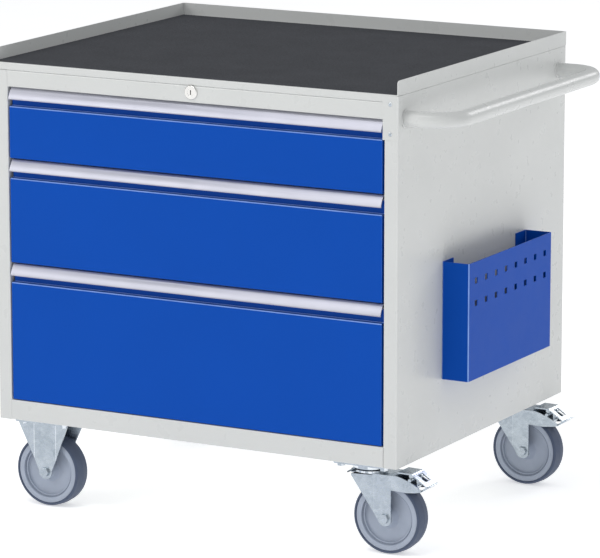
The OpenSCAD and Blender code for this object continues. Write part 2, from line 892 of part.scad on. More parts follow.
// Mounting plate, upper ball race and kingpin
module swivel_head() {
    top = castor_top - plate_t;
    race_low = crown_dz + 3 + FIT;
    color(ZINC) difference() {
        union() {
            plate(-trail, top, castor_top);
            translate([-trail, 0, 0]) rotate_extrude() polygon([
                [0, race_low], [26, race_low], [30, race_low + 3], [30, top - 3], [32, top], [0, top]
            ]);
            rod_z(-trail, 0, kingpin_d, crown_dz - 5, race_low + 1);
            rod_z(-trail, 0, kingpin_d + 8, crown_dz - leg_t - FIT - 4, crown_dz - leg_t - FIT);
        }
        plate_holes(-trail, top - 1, castor_top + 1);
    }
}

// Side view of a swivel fork's leg: slanted trailing edge, eye and the arm over the wheel
module leg_outline() {
    left = -trail - 21.5;
    arm_low = crown_dz - 25;
    notch_r = 7;
    difference() {
        union() {
            polygon([
                [left, crown_dz], [left, crown_dz - 6], [-11, -6], [eye_r, 0], [11.5, arm_low],
                [40, arm_low - 1], [58, arm_low + 1], [66, arm_low + 3], [67, arm_low + 6],
                [60, arm_low + 11], [48, crown_dz - 8], [34, crown_dz - 2.5], [24, crown_dz]
            ]);
            circle(eye_r);
        }
        translate([eye_r + notch_r - 1.4, arm_low - notch_r]) circle(notch_r - 0.01);
        translate([11.6, -20]) square([60, arm_low - notch_r + 20 - 0.01]);
    }
}

module swivel_fork() {
    lower_race = crown_dz + 3;
    wing = [
        [-trail - 24, -leg_out + 7.5],
        [-20, -leg_out + leg_t / 2],
        [70, -leg_out + leg_t / 2]
    ];
    color(ZINC) difference() {
        union() {
            intersection() {
                along_y(-leg_out - 1, leg_out + 1) leg_outline();
                upright(-20, crown_dz + 1) {
                    polygon(ribbon(wing, leg_t, 6));
                    mirror([0, 1]) polygon(ribbon(wing, leg_t, 6));
                }
            }
            upright(crown_dz - leg_t, crown_dz) difference() {
                translate([-trail, 0]) circle(33);
                translate([-trail - 40, leg_out]) square([80, 20]);
                translate([-trail - 40, -leg_out - 20]) square([80, 20]);
            }
            block([-trail, -leg_in - 1, crown_dz - leg_t], [18, leg_in + 1, crown_dz]);
            rod_z(-trail, 0, 56, crown_dz - 0.5, lower_race);
        }
        rod_z(-trail, 0, kingpin_d + 2 * RUNNING, crown_dz - 10, lower_race + 1);
        rod_y(0, 0, axle_d + 2 * RUNNING, -leg_out - 1, leg_out + 1);
        rod_y(pedal_x, pedal_z, pedal_pin_d, -leg_out - 1, leg_out + 1);
    }
}

// Foot pedal: pivot pin, rolled root, windowed plate, raised toe and brake shoe
module swivel_pedal() {
    half_w = leg_in - 1.5;
    roll = [pedal_x + 1, pedal_z + 7];
    hook = [
        [pedal_x - 24, pedal_z + 10],
        [pedal_x + 2, pedal_z + 9.5],
        [pedal_x + 30, pedal_z - 9],
        [pedal_x + 17, pedal_z - 18]
    ];
    toe = [
        [pedal_x + 15, pedal_z - 19],
        [pedal_x + 20, pedal_z - 17.5],
        [pedal_x + 37, pedal_z - 6]
    ];
    shoe = [
        [pedal_x - 3, pedal_z + 3], [pedal_x - 2, pedal_z + 9], [pedal_x + 5, pedal_z + 7],
        [pedal_x + 7, pedal_z - 12], [pedal_x + 3, pedal_z - 19], [pedal_x - 4, pedal_z - 14]
    ];
    color(ZINC) difference() {
        union() {
            along_y(-half_w, half_w) {
                polygon(ribbon(hook, 2, 2));
                polygon(ribbon(toe, 1.5, 6));
            }
            rod_y(roll.x, roll.y, 8, -half_w, half_w);
            along_y(-10, 10) polygon(shoe);
            rod_y(pedal_x, pedal_z, pedal_pin_d - 2 * RUNNING, -leg_out, leg_out);
        }
        along_y(-9, 9) polygon([
            [pedal_x + 9, pedal_z + 11], [pedal_x + 25, pedal_z + 1],
            [pedal_x + 19, pedal_z - 9], [pedal_x + 3, pedal_z + 1]
        ]);
    }
}

// Hex bolts with nuts: heads under the castor plates, nuts on the base sheet
module castor_bolts() {
    under = z_0 - plate_t;
    color(ZINC) for (p = bolt_places()) {
        rod_z(p.x, p.y, bolt_d, under - 1, z_0 + sheet + 8);
        translate([p.x, p.y, under - 5.5]) cylinder(d = bolt_d * 1.8, h = 5.5, $fn = 6);
        translate([p.x, p.y, z_0 + sheet]) cylinder(d = bolt_d * 1.8, h = 6.5, $fn = 6);
    }
}

// ---- which pieces to draw ----

side_left();
side_right();
back_panel();
back_screws();
base_pan();
top_rail();
slide_posts();
worktop_tray();
rubber_mat();
handle_tube();
corner_bracket();
bracket_rivets();
side_pocket();
pocket_rivets();
castor_bolts();
fixed_axles();
slide_outers();
lock_housing();
lock_plug();
lock_link();
lock_bar();
drawer_tray(0);  // top_drawer_tray
drawer_walls(0);  // top_drawer_walls
drawer_front(0);  // top_drawer_front
drawer_grip(0);  // top_drawer_grip
drawer_catch(0);  // top_drawer_catch
drawer_slide_middle(0);  // top_drawer_slide_middle
drawer_slide_inner(0);  // top_drawer_slide_inner
drawer_tray(1);  // middle_drawer_tray
drawer_walls(1);  // middle_drawer_walls
drawer_front(1);  // middle_drawer_front
drawer_grip(1);  // middle_drawer_grip
drawer_catch(1);  // middle_drawer_catch
drawer_slide_middle(1);  // middle_drawer_slide_middle
drawer_slide_inner(1);  // middle_drawer_slide_inner
drawer_tray(2);  // bottom_drawer_tray
drawer_walls(2);  // bottom_drawer_walls
drawer_front(2);  // bottom_drawer_front
drawer_grip(2);  // bottom_drawer_grip
drawer_catch(2);  // bottom_drawer_catch
drawer_slide_middle(2);  // bottom_drawer_slide_middle
drawer_slide_inner(2);  // bottom_drawer_slide_inner
at_fixed(0) fixed_bracket();  // fixed_front_bracket
at_fixed(0) wheel_rim();  // fixed_front_rim
at_fixed(0) wheel_tyre();  // fixed_front_tyre
at_fixed(1) fixed_bracket();  // fixed_rear_bracket
at_fixed(1) wheel_rim();  // fixed_rear_rim
at_fixed(1) wheel_tyre();  // fixed_rear_tyre
at_swivel(0) swivel_head();  // swivel_front_head
at_swivel(0) swivel_fork();  // swivel_front_fork
at_swivel(0) wheel_rim();  // swivel_front_rim
at_swivel(0) wheel_tyre();  // swivel_front_tyre
at_swivel(0) wheel_axle();  // swivel_front_axle
at_swivel(0) swivel_pedal();  // swivel_front_pedal
at_swivel(1) swivel_head();  // swivel_rear_head
at_swivel(1) swivel_fork();  // swivel_rear_fork
at_swivel(1) wheel_rim();  // swivel_rear_rim
at_swivel(1) wheel_tyre();  // swivel_rear_tyre
at_swivel(1) wheel_axle();  // swivel_rear_axle
at_swivel(1) swivel_pedal();  // swivel_rear_pedal
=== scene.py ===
"""Mobile drawer cabinet with three drawers, a rubber-topped tray, a push handle, a pocket and castors."""

import json
import math

import bmesh
import bpy
from mathutils import Matrix, Vector


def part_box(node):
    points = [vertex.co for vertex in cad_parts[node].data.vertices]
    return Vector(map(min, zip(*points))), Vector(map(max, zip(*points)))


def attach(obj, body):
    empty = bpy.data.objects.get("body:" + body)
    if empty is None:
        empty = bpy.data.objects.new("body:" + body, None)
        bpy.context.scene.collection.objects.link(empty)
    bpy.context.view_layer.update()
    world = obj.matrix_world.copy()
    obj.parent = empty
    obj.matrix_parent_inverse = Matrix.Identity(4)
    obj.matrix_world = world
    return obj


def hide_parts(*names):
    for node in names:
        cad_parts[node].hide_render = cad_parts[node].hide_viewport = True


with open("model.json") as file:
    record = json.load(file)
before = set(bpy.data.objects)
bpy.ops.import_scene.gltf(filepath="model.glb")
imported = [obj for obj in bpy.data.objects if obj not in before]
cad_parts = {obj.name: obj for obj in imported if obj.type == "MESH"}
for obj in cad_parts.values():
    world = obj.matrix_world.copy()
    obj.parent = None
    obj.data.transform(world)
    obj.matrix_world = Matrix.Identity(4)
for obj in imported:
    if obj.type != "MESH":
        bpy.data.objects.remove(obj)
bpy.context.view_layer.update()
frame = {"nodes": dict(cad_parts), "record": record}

MM = 0.001
BODY_OF = {n: body for body, nodes in frame["record"]["behaviour"]["bodies"].items() for n in nodes}
SLOT_OF = {row["node"]: row["material_slot"] for row in frame["record"]["subparts"]}
DRAWERS = ("top", "middle", "bottom")
ENDS = ("front", "rear")
SHARP = 35.0  # an edge that turns more than this, in degrees, is rolled
LEG_MIDDLE = 22.75 * MM  # middle of a castor leg's sheet from the wheel's middle
HEAD_FROM = 23.85 * MM  # an axle's head and nut lie farther out than this
FIXED_WING = (22 * MM, 0.2295)  # fold's distance from the axle, and the wing's lean
SWIVEL_WING = (20 * MM, 0.149)
# faces marked in this layer get a painted highlight in their finish
FOLD_HIGHLIGHT = "fold"  # a sheet's faces that lie in a bend or a rolled edge


# ---- finishes ----


class Reading:
    """A socket of a finish's nodes, which works in Python sums."""

    def __init__(self, finish, socket):
        self.finish = finish
        self.socket = socket

    def maths(self, operation, first, second):
        return self.finish.node("Math", {"operation": operation}, {0: first, 1: second})

    def __add__(self, other):
        return self.maths("ADD", self, other)

    __radd__ = __add__

    def __mul__(self, other):
        return self.maths("MULTIPLY", self, other)

    __rmul__ = __mul__

    def __sub__(self, other):
        return self.maths("SUBTRACT", self, other)

    def __rsub__(self, other):
        return self.maths("SUBTRACT", other, self)


class Finish:
    """One material. Numbers that are the same all over are set on the shader's own sockets."""

    def __init__(self, name, **constants):
        self.material = bpy.data.materials.new(name)
        self.material.use_nodes = True
        self.tree = self.material.node_tree
        self.tree.nodes.clear()
        self.shader = self.tree.nodes.new("ShaderNodeBsdfPrincipled")
        output = self.tree.nodes.new("ShaderNodeOutputMaterial")
        self.tree.links.new(self.shader.outputs[0], output.inputs["Surface"])
        for socket, value in constants.items():
            self.shader.inputs[socket.replace("_", " ")].default_value = value

    def join(self, value, socket):
        if isinstance(value, Reading):
            self.tree.links.new(value.socket, socket)
        else:
            socket.default_value = value

    def node(self, kind, settings, inputs, output=0):
        """A node of that kind: its settings first, then the values or links of its sockets."""
        node = self.tree.nodes.new("ShaderNode" + kind)
        for name, value in settings.items():
            if name == "stops":
                ramp = node.color_ramp
                while len(ramp.elements) < len(value):
                    ramp.elements.new(1.0)
                for element, (place, colour) in zip(ramp.elements, value):
                    element.position = place
                    element.color = colour
            else:
                setattr(node, name, value)
        for name, value in inputs.items():
            self.join(value, node.inputs[name])
        return Reading(self, node.outputs[output])

    def place(self, stretch=(1, 1, 1)):
        """Where a point lies on the piece, stretched along its axes."""
        here = self.node("TexCoord", {}, {}, "Object")
        return self.node("Mapping", {}, {"Vector": here, "Scale": stretch})

    def noise(self, scale, detail=3.0, roughness=0.5, stretch=(1, 1, 1)):
        inputs = {"Vector": self.place(stretch), "Scale": scale}
        inputs.update({"Detail": detail, "Roughness": roughness})
        return self.node("TexNoise", {}, inputs)

    def cells(self, scale, output):
        inputs = {"Vector": self.place(), "Scale": scale}
        return self.node("TexVoronoi", {"feature": "F1"}, inputs, output)

    def between(self, reading, low, high):
        """The reading spread from low to high over 0.3 to 0.7, where most of a noise lies."""
        inputs = {"Value": reading, "From Min": 0.3, "From Max": 0.7, "To Min": low, "To Max": high}
        return self.node("MapRange", {"clamp": True}, inputs)

    def blend(self, share, first, second):
        inputs = {0: share, 6: first, 7: second}
        return self.node("Mix", {"data_type": "RGBA"}, inputs, 2)

    def give(self, socket, reading):
        self.join(reading, self.shader.inputs[socket])

    def relief(self, height, depth):
        """A height between 0 and 1 becomes bumps that deep, in metres."""
        inputs = {"Height": height, "Distance": depth, "Strength": 1.0}
        self.give("Normal", self.node("Bump", {}, inputs))

    def folds(self):
        """1 on the faces that are marked as a fold or a rolled edge, where a highlight is painted; 0
        elsewhere.
        """
        return self.node("Attribute", {"attribute_name": FOLD_HIGHLIGHT}, {}, "Fac")


def shade(colour, factor):
    return tuple(min(1.0, c * factor) for c in colour[:3]) + (1.0,)


def powder_coat(name, colour, highlight_colour, rough, gloss, ior):
    """Baked powder paint: fine orange peel, faint clouds, tiny lighter specks, and a painted highlight
    that makes folds paler.
    """
    coat = Finish(name, Specular_IOR_Level=gloss, IOR=ior)
    cloud = coat.between(coat.noise(6.0, 4.0, 0.55), 0.0, 1.0)
    grain = coat.between(coat.noise(900.0, 2.0), 0.0, 1.0)
    base = coat.blend(cloud, shade(colour, 0.975), shade(colour, 1.02))
    speckled = coat.blend(grain * 0.35, base, shade(colour, 1.07))
    # painted highlight: marked folds blend toward the paler highlight colour, broken up a little by noise
    paler_share = coat.folds() * coat.between(coat.noise(25.0, 3.0), 0.7, 1.0)
    coat.give("Base Color", coat.blend(paler_share, speckled, highlight_colour))
    coat.give("Roughness", coat.between(coat.noise(45.0, 3.0), rough - 0.04, rough + 0.05))
    coat.relief(coat.noise(260.0, 1.0, 0.4), 0.00002)
    return coat


def extruded_aluminium():
    """Silk-anodised aluminium with the fine lines of its die along X."""
    metal = Finish("extruded_aluminium", Metallic=1.0, Anisotropic=0.5)
    lines = metal.noise(1.0, 2.0, 0.6, (3, 2600, 2600))
    cloud = metal.noise(18.0, 2.0)
    colour = metal.blend(metal.between(lines, 0, 1), (0.40, 0.41, 0.47, 1), (0.48, 0.48, 0.55, 1))
    metal.give("Base Color", metal.blend(metal.between(cloud, 0, 0.3), colour, (0.55, 0.55, 0.61, 1)))
    metal.give("Roughness", metal.between(lines, 0.38, 0.50))
    metal.relief(lines, 0.00002)
    return metal


def bright_zinc():
    """Blue-passivated zinc: faint spangle, soft stains, a rolled grain and a painted highlight on its
    folds.
    """
    metal = Finish("bright_zinc", Metallic=1.0)
    spangle = metal.cells(160.0, "Color")
    stain = metal.between(metal.noise(35.0, 5.0, 0.6), 0, 1)
    grain = metal.noise(60.0, 3.0, 0.6, (1, 1, 24))
    warm = metal.blend(stain, (0.33, 0.38, 0.43, 1), (0.46, 0.51, 0.56, 1))
    speck = metal.node("SeparateColor", {}, {0: spangle}, 0)
    bare = metal.blend(speck * 0.3, warm, (0.62, 0.67, 0.72, 1))
    # painted highlight: marked folds blend toward a near-white zinc colour
    painted_glint = metal.folds() * metal.between(grain, 0.6, 1.0)
    metal.give("Base Color", metal.blend(painted_glint, bare, (0.86, 0.90, 0.94, 1)))
    metal.give("Roughness", metal.between(grain, 0.22, 0.34))
    metal.relief(grain * 0.6 + metal.noise(700.0, 2.0) * 0.4, 0.00005)
    return metal


def polished_nickel():
    """Bright nickel on the lock, with the circular marks of its turning."""
    metal = Finish("polished_nickel", Metallic=1.0)
    marks = metal.noise(900.0, 3.0)
    paler_share = metal.between(marks, 0, 1)
    metal.give("Base Color", metal.blend(paler_share, (0.70, 0.69, 0.67, 1), (0.80, 0.79, 0.77, 1)))
    metal.give("Roughness", metal.between(marks, 0.14, 0.24))
    metal.relief(marks, 0.00001)
    return metal


def drawer_sheet():
    """Thin grey lacquer over drawer sheet, where the metal's grain still shows."""
    coat = Finish("drawer_sheet", Metallic=0.15)
    grain = coat.noise(120.0, 4.0, 0.6, (1, 8, 8))
    streaks = coat.between(grain, 0, 1)
    coat.give("Base Color", coat.blend(streaks, (0.52, 0.53, 0.53, 1), (0.58, 0.59, 0.59, 1)))
    coat.give("Roughness", coat.between(grain, 0.38, 0.50))
    coat.relief(grain, 0.00003)
    return coat


def moulded_rubber():
    """Charcoal mat rubber: dull faces, greyer where wear has dusted the tips."""
    rubber = Finish("moulded_rubber", Specular_IOR_Level=0.25)
    dust = rubber.between(rubber.noise(14.0, 5.0, 0.6), 0, 1)
    fleck = rubber.between(rubber.noise(1300.0, 2.0), 0, 1)
    weave = rubber.between(rubber.noise(240.0, 3.0, 0.7), 0, 1)
    base = rubber.blend(dust, (0.026, 0.028, 0.033, 1), (0.042, 0.045, 0.052, 1))
    mottled = rubber.blend(weave * 0.6, base, (0.085, 0.088, 0.100, 1))
    rubber.give("Base Color", rubber.blend(fleck * 0.4, mottled, (0.080, 0.083, 0.095, 1)))
    rubber.give("Roughness", rubber.between(fleck, 0.62, 0.80))
    rubber.relief(rubber.noise(1800.0, 2.0), 0.00008)
    return rubber


def wheel_plastic():
    """Lilac-grey polypropylene of the wheel centres, with a fine moulding grain."""
    plastic = Finish("wheel_plastic", Specular_IOR_Level=0.5)
    flow = plastic.between(plastic.noise(40.0, 4.0, 0.5), 0, 1)
    plastic.give("Base Color", plastic.blend(flow, (0.335, 0.38, 0.465, 1), (0.375, 0.42, 0.51, 1)))
    plastic.give("Roughness", plastic.between(plastic.noise(200.0), 0.36, 0.48))
    plastic.relief(plastic.noise(1100.0, 2.0), 0.00004)
    return plastic


def tread_rubber():
    """Slate thermoplastic rubber of the tyres: matt, faintly scuffed."""
    rubber = Finish("tread_rubber", Specular_IOR_Level=0.4)
    scuff = rubber.between(rubber.noise(70.0, 5.0, 0.65), 0, 1)
    rubber.give("Base Color", rubber.blend(scuff, (0.056, 0.077, 0.130, 1), (0.076, 0.098, 0.158, 1)))
    rubber.give("Roughness", rubber.between(scuff, 0.52, 0.66))
    rubber.relief(rubber.noise(900.0, 3.0), 0.00006)
    return rubber


# each paint's second colour is a painted highlight for its folds and rolled edges
GREY, GREY_PAINTED_HIGHLIGHT = (0.63, 0.64, 0.63), (0.74, 0.75, 0.74, 1)
BLUE, BLUE_PAINTED_HIGHLIGHT = (0.002, 0.068, 0.41), (0.28, 0.44, 0.86, 1)
FINISHES = {
    "grey_paint": powder_coat("light_grey_powder_coat", GREY, GREY_PAINTED_HIGHLIGHT, 0.30, 0.45, 1.45),
    "blue_paint": powder_coat("gentian_blue_powder_coat", BLUE, BLUE_PAINTED_HIGHLIGHT, 0.34, 0.30, 1.22),
    "drawer_steel": drawer_sheet(),
    "grip_aluminium": extruded_aluminium(),
    "zinc": bright_zinc(),
    "nickel": polished_nickel(),
    "mat_rubber": moulded_rubber(),
    "rim_plastic": wheel_plastic(),
    "tyre_rubber": tread_rubber(),
}


# ---- making pieces ----


def placed(shape, name, material):
    """Turns a bmesh into an object of the scene, at the origin."""
    mesh = bpy.data.meshes.new(name)
    shape.to_mesh(mesh)
    shape.free()
    piece = bpy.data.objects.new(name, mesh)
    bpy.context.scene.collection.objects.link(piece)
    mesh.materials.append(material)
    return piece


def finish_piece(shape, name, node, smooth_below=40.0, weighted=True):
    """Turns a finished bmesh into the piece that stands for a CAD node."""
    for face in shape.faces:
        face.smooth = True
    for edge in shape.edges:
        if len(edge.link_faces) == 2:
            edge.smooth = edge.calc_face_angle(0.0) < math.radians(smooth_below)
    piece = placed(shape, name, FINISHES[SLOT_OF[node]].material)
    if weighted:
        normals = piece.modifiers.new("even_shading", "WEIGHTED_NORMAL")
        normals.keep_sharp = True
    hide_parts(node)
    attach(piece, BODY_OF[node])


def merged_copy(node):
    """A CAD node's shape with its loose triangles joined and its flat faces whole."""
    shape = bmesh.new()
    shape.from_mesh(frame["nodes"][node].data)
    bmesh.ops.remove_doubles(shape, verts=shape.verts, dist=2e-6)
    bmesh.ops.dissolve_limit(
        shape,
        angle_limit=math.radians(0.5),
        use_dissolve_boundaries=False,
        verts=shape.verts,
        edges=shape.edges,
    )
    return shape


def round_edges(shape, radius, segments=2):
    """Rolls every sharp edge, as paint and deburring leave it."""
    edges = [
        e
        for e in shape.edges
        if len(e.link_faces) == 2 and e.calc_face_angle(0.0) > math.radians(SHARP)
    ]
    bmesh.ops.bevel(
        shape,
        geom=edges,
        offset=radius,
        offset_type="OFFSET",
        segments=segments,
        profile=0.5,
        affect="EDGES",
        clamp_overlap=True,
        material=-1,
    )


def mark_highlight_folds(shape):
    """Marks the faces that lean between two sides and don't face down, where a highlight is painted in a
    paler colour.
    """
    shape.normal_update()
    fold = shape.faces.layers.float.new(FOLD_HIGHLIGHT)
    for face in shape.faces:
        leaning = sorted(abs(part) for part in face.normal)[1] > 0.3
        # the painted highlight is kept off faces that face down, as if the light came from above
        face[fold] = float(leaning and face.normal.z > -0.2)


def rolled_edge_piece(node, radius):
    """A CAD node with its sharp edges rolled."""
    shape = merged_copy(node)
    round_edges(shape, radius)
    mark_highlight_folds(shape)
    finish_piece(shape, node + "_rolled", node)


def wheel_centre(where):
    low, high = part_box(where + "_rim")
    return (low + high) / 2


def castor_leg_piece(where, part, wing, both_ways):
    """A pressed castor leg: its wings flare away from the wheel, and a highlight is painted on its folds.
    """
    node = where + "_" + part
    fold, lean = wing
    half_sheet = 1.5 * MM
    axle = wheel_centre(where)
    shape = merged_copy(node)
    for vert in shape.verts:
        off = axle.x - vert.co.x
        beyond = (abs(off) if both_ways else off) - fold
        out = vert.co.y - axle.y
        in_wing = abs(abs(out) - (LEG_MIDDLE - lean * beyond)) < half_sheet
        if beyond > 0 and in_wing:
            vert.co.y += math.copysign(2 * lean * beyond, out)
    round_edges(shape, 0.4 * MM)
    mark_highlight_folds(shape)
    painted_glint = shape.faces.layers.float[FOLD_HIGHLIGHT]
    # the shallow crease between panel and wing also gets the painted highlight
    for face in shape.faces:
        if 0.015 < abs(face.normal.x) < 0.9 * lean and abs(face.normal.y) > 0.9:
            face[painted_glint] = 1.0
    finish_piece(shape, node + "_pressed", node)


def axle_piece(node, wheels):
    """Axle bolts with domed hexagon heads and nuts outside the legs."""
    shape = merged_copy(node)
    wider = 1.3
    centres = [wheel_centre(where) for where in wheels]
    for vert in shape.verts:
        axle = min(centres, key=lambda c: abs(c.y - vert.co.y))
        if abs(vert.co.y - axle.y) > HEAD_FROM:
            vert.co.x = axle.x + (vert.co.x - axle.x) * wider
            vert.co.z = axle.z + (vert.co.z - axle.z) * wider
    round_edges(shape, 1.3 * MM, segments=3)
    mark_highlight_folds(shape)
    finish_piece(shape, node + "_domed", node)


def spin(shape, geom, cent, axis, angle, steps):
    """Turns edges about an axis, and closes the seam when it is a full turn."""
    return bmesh.ops.spin(
        shape,
        geom=geom,
        cent=cent,
        axis=axis,
        angle=angle,
        steps=steps,
        use_merge=angle == math.tau,
        use_normal_flip=False,
        use_duplicate=False,
    )["geom_last"]


def spun(shape, profile, centre, steps=120):
    """Spins a profile, given as distance from the axis and place along Y, into a closed ring."""
    verts = [shape.verts.new((centre.x + r, centre.y + along, centre.z)) for r, along in profile]
    edges = [shape.edges.new((verts[k], verts[(k + 1) % len(verts)])) for k in range(len(verts))]
    spin(shape, verts + edges, centre, (0, 1, 0), math.tau, steps)
    bmesh.ops.remove_doubles(shape, verts=shape.verts, dist=1e-6)
    bmesh.ops.recalc_face_normals(shape, faces=shape.faces)


def arc(centre_r, centre_y, radius, first, last, steps):
    """Points of a round corner in a wheel's profile, in metres and degrees."""
    turns = [math.radians(first + (last - first) * k / steps) for k in range(steps + 1)]
    return [(centre_r + radius * math.cos(a), centre_y + radius * math.sin(a)) for a in turns]


def make_rim(where):
    """A closed wheel centre: raised outer ring, a groove inside it, a shallow dish and a hub boss."""
    node = where + "_rim"
    low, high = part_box(node)
    middle = (low + high) / 2
    ring = (high.x - low.x) / 2
    hub_end = (high.y - low.y) / 2
    bore = 6.1 * MM
    face = 16.4 * MM
    disc = 6.4 * MM
    half = [(bore, hub_end - 0.6 * MM), (bore + 0.6 * MM, hub_end)]
    half += arc(12.6 * MM, hub_end - 1.0 * MM, 1.0 * MM, 90, 15, 4)
    half += [(16.0 * MM, disc + 6.5 * MM)]
    half += arc(22.0 * MM, disc + 4.6 * MM, 4.4 * MM, 205, 266, 5)
    half += [(ring - 18.5 * MM, disc + 0.5 * MM)]
    half += arc(ring - 15.6 * MM, disc + 2.4 * MM, 1.9 * MM, 270, 350, 4)
    half += [(ring - 13.5 * MM, face - 4.4 * MM), (ring - 12.9 * MM, face - 3.9 * MM)]
    half += [(ring - 11.7 * MM, face - 4.0 * MM), (ring - 11.2 * MM, face - 5.6 * MM)]
    half += [(ring - 9.9 * MM, face - 5.6 * MM), (ring - 9.3 * MM, face - 1.2 * MM)]
    half += arc(ring - 8.2 * MM, face - 1.1 * MM, 1.1 * MM, 165, 94, 4)
    half += [(ring - 1.9 * MM, face)]
    half += arc(ring - 0.9 * MM, face - 0.9 * MM, 0.9 * MM, 90, 0, 3)
    shape = bmesh.new()
    spun(shape, half + [(r, -y) for r, y in reversed(half)], middle)
    finish_piece(shape, node + "_moulded", node, 32)


def make_tyre(where):
    """A solid tyre with rounded shoulders, a crowned tread and a fine mould line round its middle."""
    node = where + "_tyre"
    low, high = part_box(node)
    middle = (low + high) / 2
    outside = (high.x - low.x) / 2
    half_w = (high.y - low.y) / 2
    inside = outside - 6.0 * MM
    shoulder = 4.2 * MM
    side = half_w - 0.2 * MM
    half = [(outside, 0.0), (outside - 0.25 * MM, 0.25 * MM), (outside - 0.25 * MM, 0.9 * MM)]
    half += [(outside - 0.4 * MM, 5 * MM), (outside - 0.8 * MM, 9.5 * MM)]
    half += arc(outside - 1.1 * MM - shoulder, half_w - shoulder, shoulder, 12, 84, 7)
    half += [(inside + 1.0 * MM, side), (inside + 0.3 * MM, side - 0.5 * MM), (inside, side - 1.6 * MM)]
    shape = bmesh.new()
    mirror = [(r, -y) for r, y in reversed(half[1:])]
    spun(shape, mirror + half, middle)
    finish_piece(shape, node + "_moulded", node, 45)


def make_mat():
    """A rubber mat whose top is a field of small four-sided points."""
    node = "rubber_mat"
    low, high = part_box(node)
    pitch = 5.0 * MM
    height = 1.1 * MM
    size = high - low
    shape = bmesh.new()
    across, deep = round(size.x / pitch), round(size.y / pitch)
    bmesh.ops.create_grid(shape, x_segments=across, y_segments=deep, size=0.5)
    bmesh.ops.scale(shape, vec=(size.x, size.y, 1), verts=shape.verts)
    middle = (low + high) / 2
    bmesh.ops.translate(shape, vec=(middle.x, middle.y, high.z - height), verts=shape.verts)
    border = [e for e in shape.edges if e.is_boundary]
    rows = list(shape.faces)
    made = bmesh.ops.extrude_edge_only(shape, edges=border)
    skirt = [v for v in made["geom"] if isinstance(v, bmesh.types.BMVert)]
    bmesh.ops.translate(shape, vec=(0, 0, low.z - high.z + height), verts=skirt)
    bmesh.ops.holes_fill(shape, edges=[e for e in shape.edges if e.is_boundary], sides=0)
    bmesh.ops.poke(shape, faces=rows, offset=height * 0.98, center_mode="MEAN")
    bmesh.ops.recalc_face_normals(shape, faces=shape.faces)
    finish_piece(shape, "rubber_mat_ribbed", node, 20, weighted=False)


def make_grip(drawer):
    """An extruded grip strip: bowed face, rolled lower edge, a groove behind its top edge."""
    node = drawer + "_drawer_grip"
    low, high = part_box(node)
    bow = 1.2 * MM
    steps = 16
    top_y, nose_y, nose_z, nose = low.y + 11 * MM, low.y + 2.5 * MM, low.z + 1.5 * MM, 1.5 * MM
    first_z = high.z - 0.6 * MM

    def face_point(share, wall=0.0):
        y = top_y + (nose_y - nose - top_y) * share - bow * math.sin(math.pi * share)
        return y + wall, first_z + (nose_z - first_z) * share

    outline = [face_point(k / steps) for k in range(steps + 1)]
    turns = [math.radians(a) for a in range(195, 346, 15)]
    outline += [(nose_y + nose * math.cos(a), nose_z + nose * math.sin(a)) for a in turns]
    outline += [face_point(k / steps, 1.9 * MM) for k in range(steps, 5, -1)]
    web, floor = high.z - 6.5 * MM, high.z - 4.8 * MM
    foot = high.z - 9 * MM
    outline += [(high.y - 1.8 * MM, web), (high.y - 1.8 * MM, foot), (high.y, foot)]
    outline += [(high.y, high.z), (high.y - 0.8 * MM, high.z), (high.y - 0.8 * MM, floor)]
    outline += [(face_point(0.24)[0] + 1.6 * MM, floor)]
    outline += [(top_y + MM, high.z), (top_y + 0.4 * MM, high.z)]
    shape = bmesh.new()
    end = shape.faces.new([shape.verts.new((low.x, y, z)) for y, z in outline])
    made = bmesh.ops.extrude_face_region(shape, geom=[end])
    far = [g for g in made["geom"] if isinstance(g, bmesh.types.BMVert)]
    bmesh.ops.translate(shape, vec=(high.x - low.x, 0, 0), verts=far)
    bmesh.ops.recalc_face_normals(shape, faces=shape.faces)
    round_edges(shape, 0.15 * MM)
    finish_piece(shape, node + "_extruded", node, 30)


def make_handle():
    """The bent push tube, drawn from one end to the other, with a weld bead where it meets the side."""
    node = "handle_tube"
    low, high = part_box(node)
    radius = (high.z - low.z) / 2
    bend = 52 * MM
    height = (low.z + high.z) / 2
    reach = high.x - radius
    shape = bmesh.new()
    made = bmesh.ops.create_circle(shape, cap_ends=False, segments=40, radius=radius)
    upright = Matrix.Rotation(math.radians(90), 3, "Y")
    bmesh.ops.rotate(shape, cent=(0, 0, 0), matrix=upright, verts=made["verts"])
    bmesh.ops.translate(shape, vec=(low.x, low.y + radius, height), verts=made["verts"])
    ring = list(shape.edges)

    def pushed(edges, vec):
        out = bmesh.ops.extrude_edge_only(shape, edges=edges)["geom"]
        verts = [g for g in out if isinstance(g, bmesh.types.BMVert)]
        bmesh.ops.translate(shape, vec=vec, verts=verts)
        pushed_out = [g for g in out if isinstance(g, bmesh.types.BMEdge)]
        return [e for e in pushed_out if all(v in verts for v in e.verts)]

    def turned(edges, cent, angle):
        out = spin(shape, edges, cent, (0, 0, 1), angle, 16)
        return [g for g in out if isinstance(g, bmesh.types.BMEdge)]

    straight = reach - bend - low.x
    ring = pushed(ring, (straight, 0, 0))
    ring = turned(ring, (reach - bend, low.y + radius + bend, height), math.radians(90))
    ring = pushed(ring, (0, (high.y - low.y) - 2 * radius - 2 * bend, 0))
    ring = turned(ring, (reach - bend, high.y - radius - bend, height), math.radians(90))
    ring = pushed(ring, (-straight, 0, 0))
    bmesh.ops.holes_fill(shape, edges=[e for e in shape.edges if e.is_boundary], sides=0)
    bmesh.ops.recalc_face_normals(shape, faces=shape.faces)
    finish_piece(shape, "handle_tube_bent", node, 60, weighted=False)
    for y in (low.y + radius, high.y - radius):
        make_weld(Vector((low.x, y, height)), radius, "front" if y < 0 else "rear")


